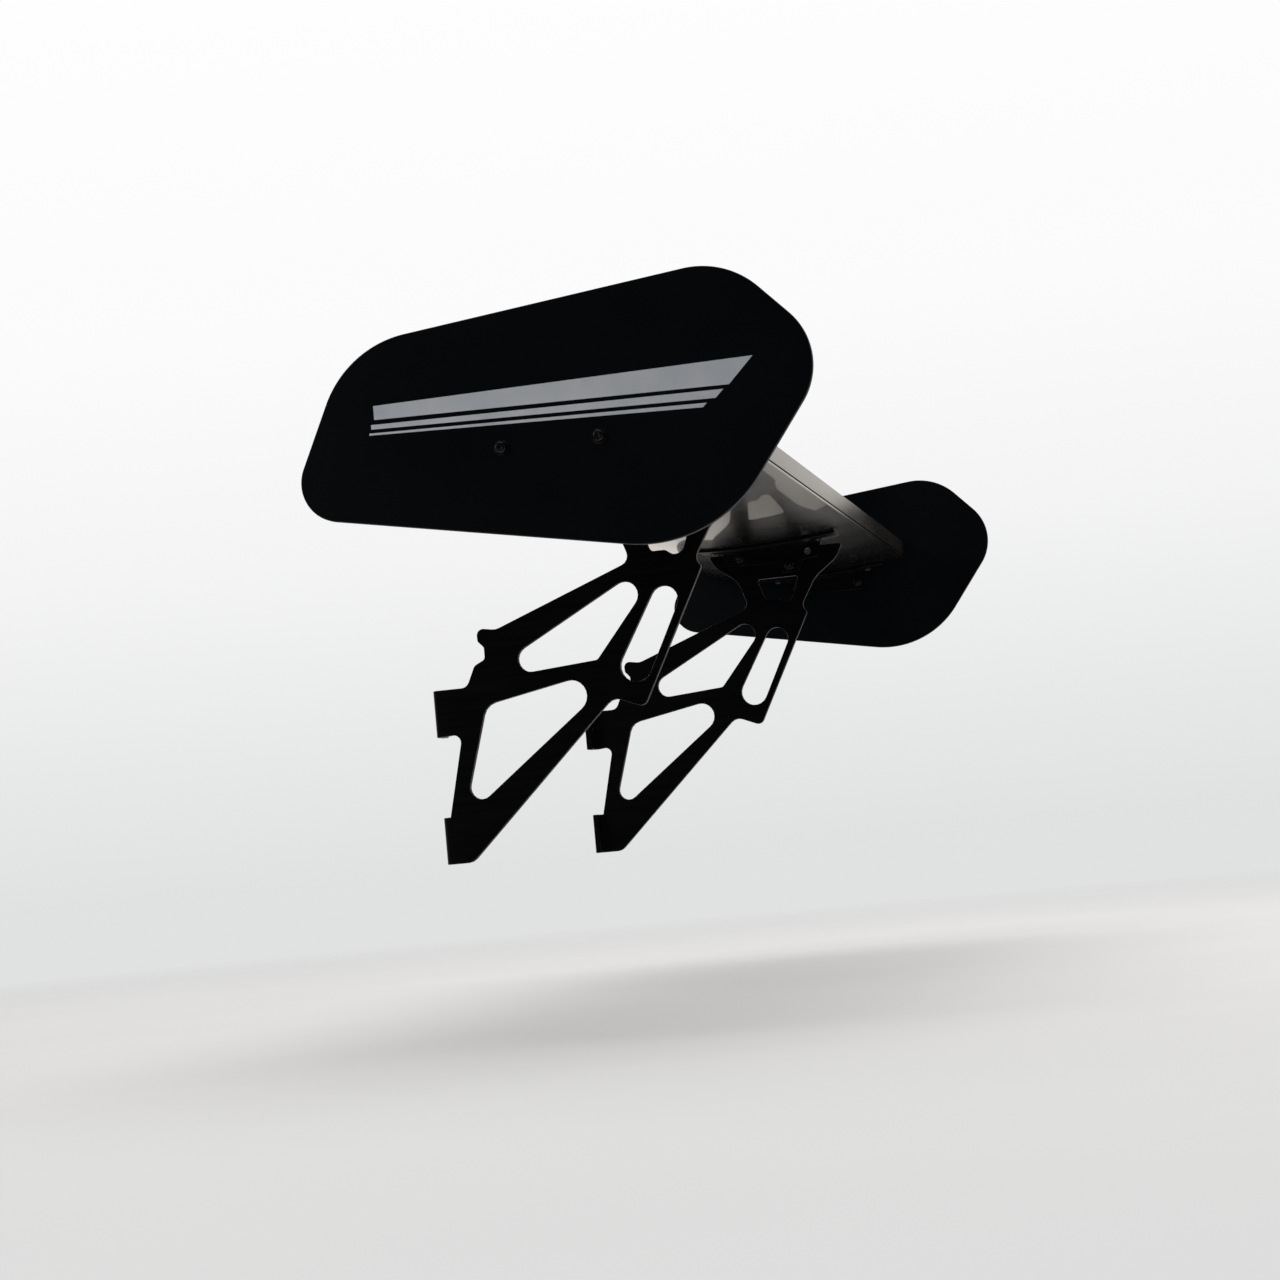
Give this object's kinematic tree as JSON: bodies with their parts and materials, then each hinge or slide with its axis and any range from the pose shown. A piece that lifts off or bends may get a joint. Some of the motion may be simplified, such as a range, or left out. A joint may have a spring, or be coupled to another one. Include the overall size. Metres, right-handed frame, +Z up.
{
  "type": "racing rear wing",
  "caption": "Racing rear wing: a wide inverted aerofoil with a Gurney flap and rounded end plates, hung on lightened upright plates with an adjustable angle.",
  "frame": {"origin": "where the middle plane of the wing meets the front faces of the mounting feet, level with the underside of the lower feet", "axes": "+X to the car's left along the span, +Y rearward, +Z up"},
  "size_m": [1.5152, 0.4415, 0.4365],
  "materials": {
    "carbon_gloss": "clear-coated twill carbon",
    "carbon_satin": "satin carbon",
    "plate_black": "satin black laminate",
    "upright_black": "black anodised",
    "bracket_black": "black anodised",
    "rib_resin": "cast resin",
    "bolt_steel": "black oxide",
    "washer_steel": "black oxide",
    "nut_black": "black plated"
  },
  "bodies": {
    "uprights": {"left_upright": "upright_black", "right_upright": "upright_black"},
    "wing_assembly": {"main_plane": "carbon_gloss", "gurney_flap": "carbon_satin", "left_end_plate": "plate_black", "left_upright_bracket": "bracket_black", "left_end_bracket": "bracket_black", "left_upright_rib": "rib_resin", "left_upright_front_screw": "bolt_steel", "left_upright_rear_screw": "bolt_steel", "left_end_rib": "rib_resin", "left_end_front_screw": "bolt_steel", "left_end_rear_screw": "bolt_steel", "left_end_front_bolt": "bolt_steel", "left_end_front_washer": "washer_steel", "left_end_front_nut": "nut_black", "left_end_rear_bolt": "bolt_steel", "left_end_rear_washer": "washer_steel", "left_end_rear_nut": "nut_black", "left_pivot_bolt": "bolt_steel", "left_pivot_washer": "washer_steel", "left_pivot_nut": "nut_black", "left_adjuster_bolt": "bolt_steel", "left_adjuster_washer": "washer_steel", "left_adjuster_nut": "nut_black", "right_end_plate": "plate_black", "right_upright_bracket": "bracket_black", "right_end_bracket": "bracket_black", "right_upright_rib": "rib_resin", "right_upright_front_screw": "bolt_steel", "right_upright_rear_screw": "bolt_steel", "right_end_rib": "rib_resin", "right_end_front_screw": "bolt_steel", "right_end_rear_screw": "bolt_steel", "right_end_front_bolt": "bolt_steel", "right_end_front_washer": "washer_steel", "right_end_front_nut": "nut_black", "right_end_rear_bolt": "bolt_steel", "right_end_rear_washer": "washer_steel", "right_end_rear_nut": "nut_black", "right_pivot_bolt": "bolt_steel", "right_pivot_washer": "washer_steel", "right_pivot_nut": "nut_black", "right_adjuster_bolt": "bolt_steel", "right_adjuster_washer": "washer_steel", "right_adjuster_nut": "nut_black"}
  },
  "joints": [
    {"name": "angle_of_attack", "type": "hinge", "parent": "uprights", "child": "wing_assembly", "pos_m": [0, 0.1936, 0.318], "axis": [1, 0, 0], "range_deg": [-2, 6]}
  ]
}
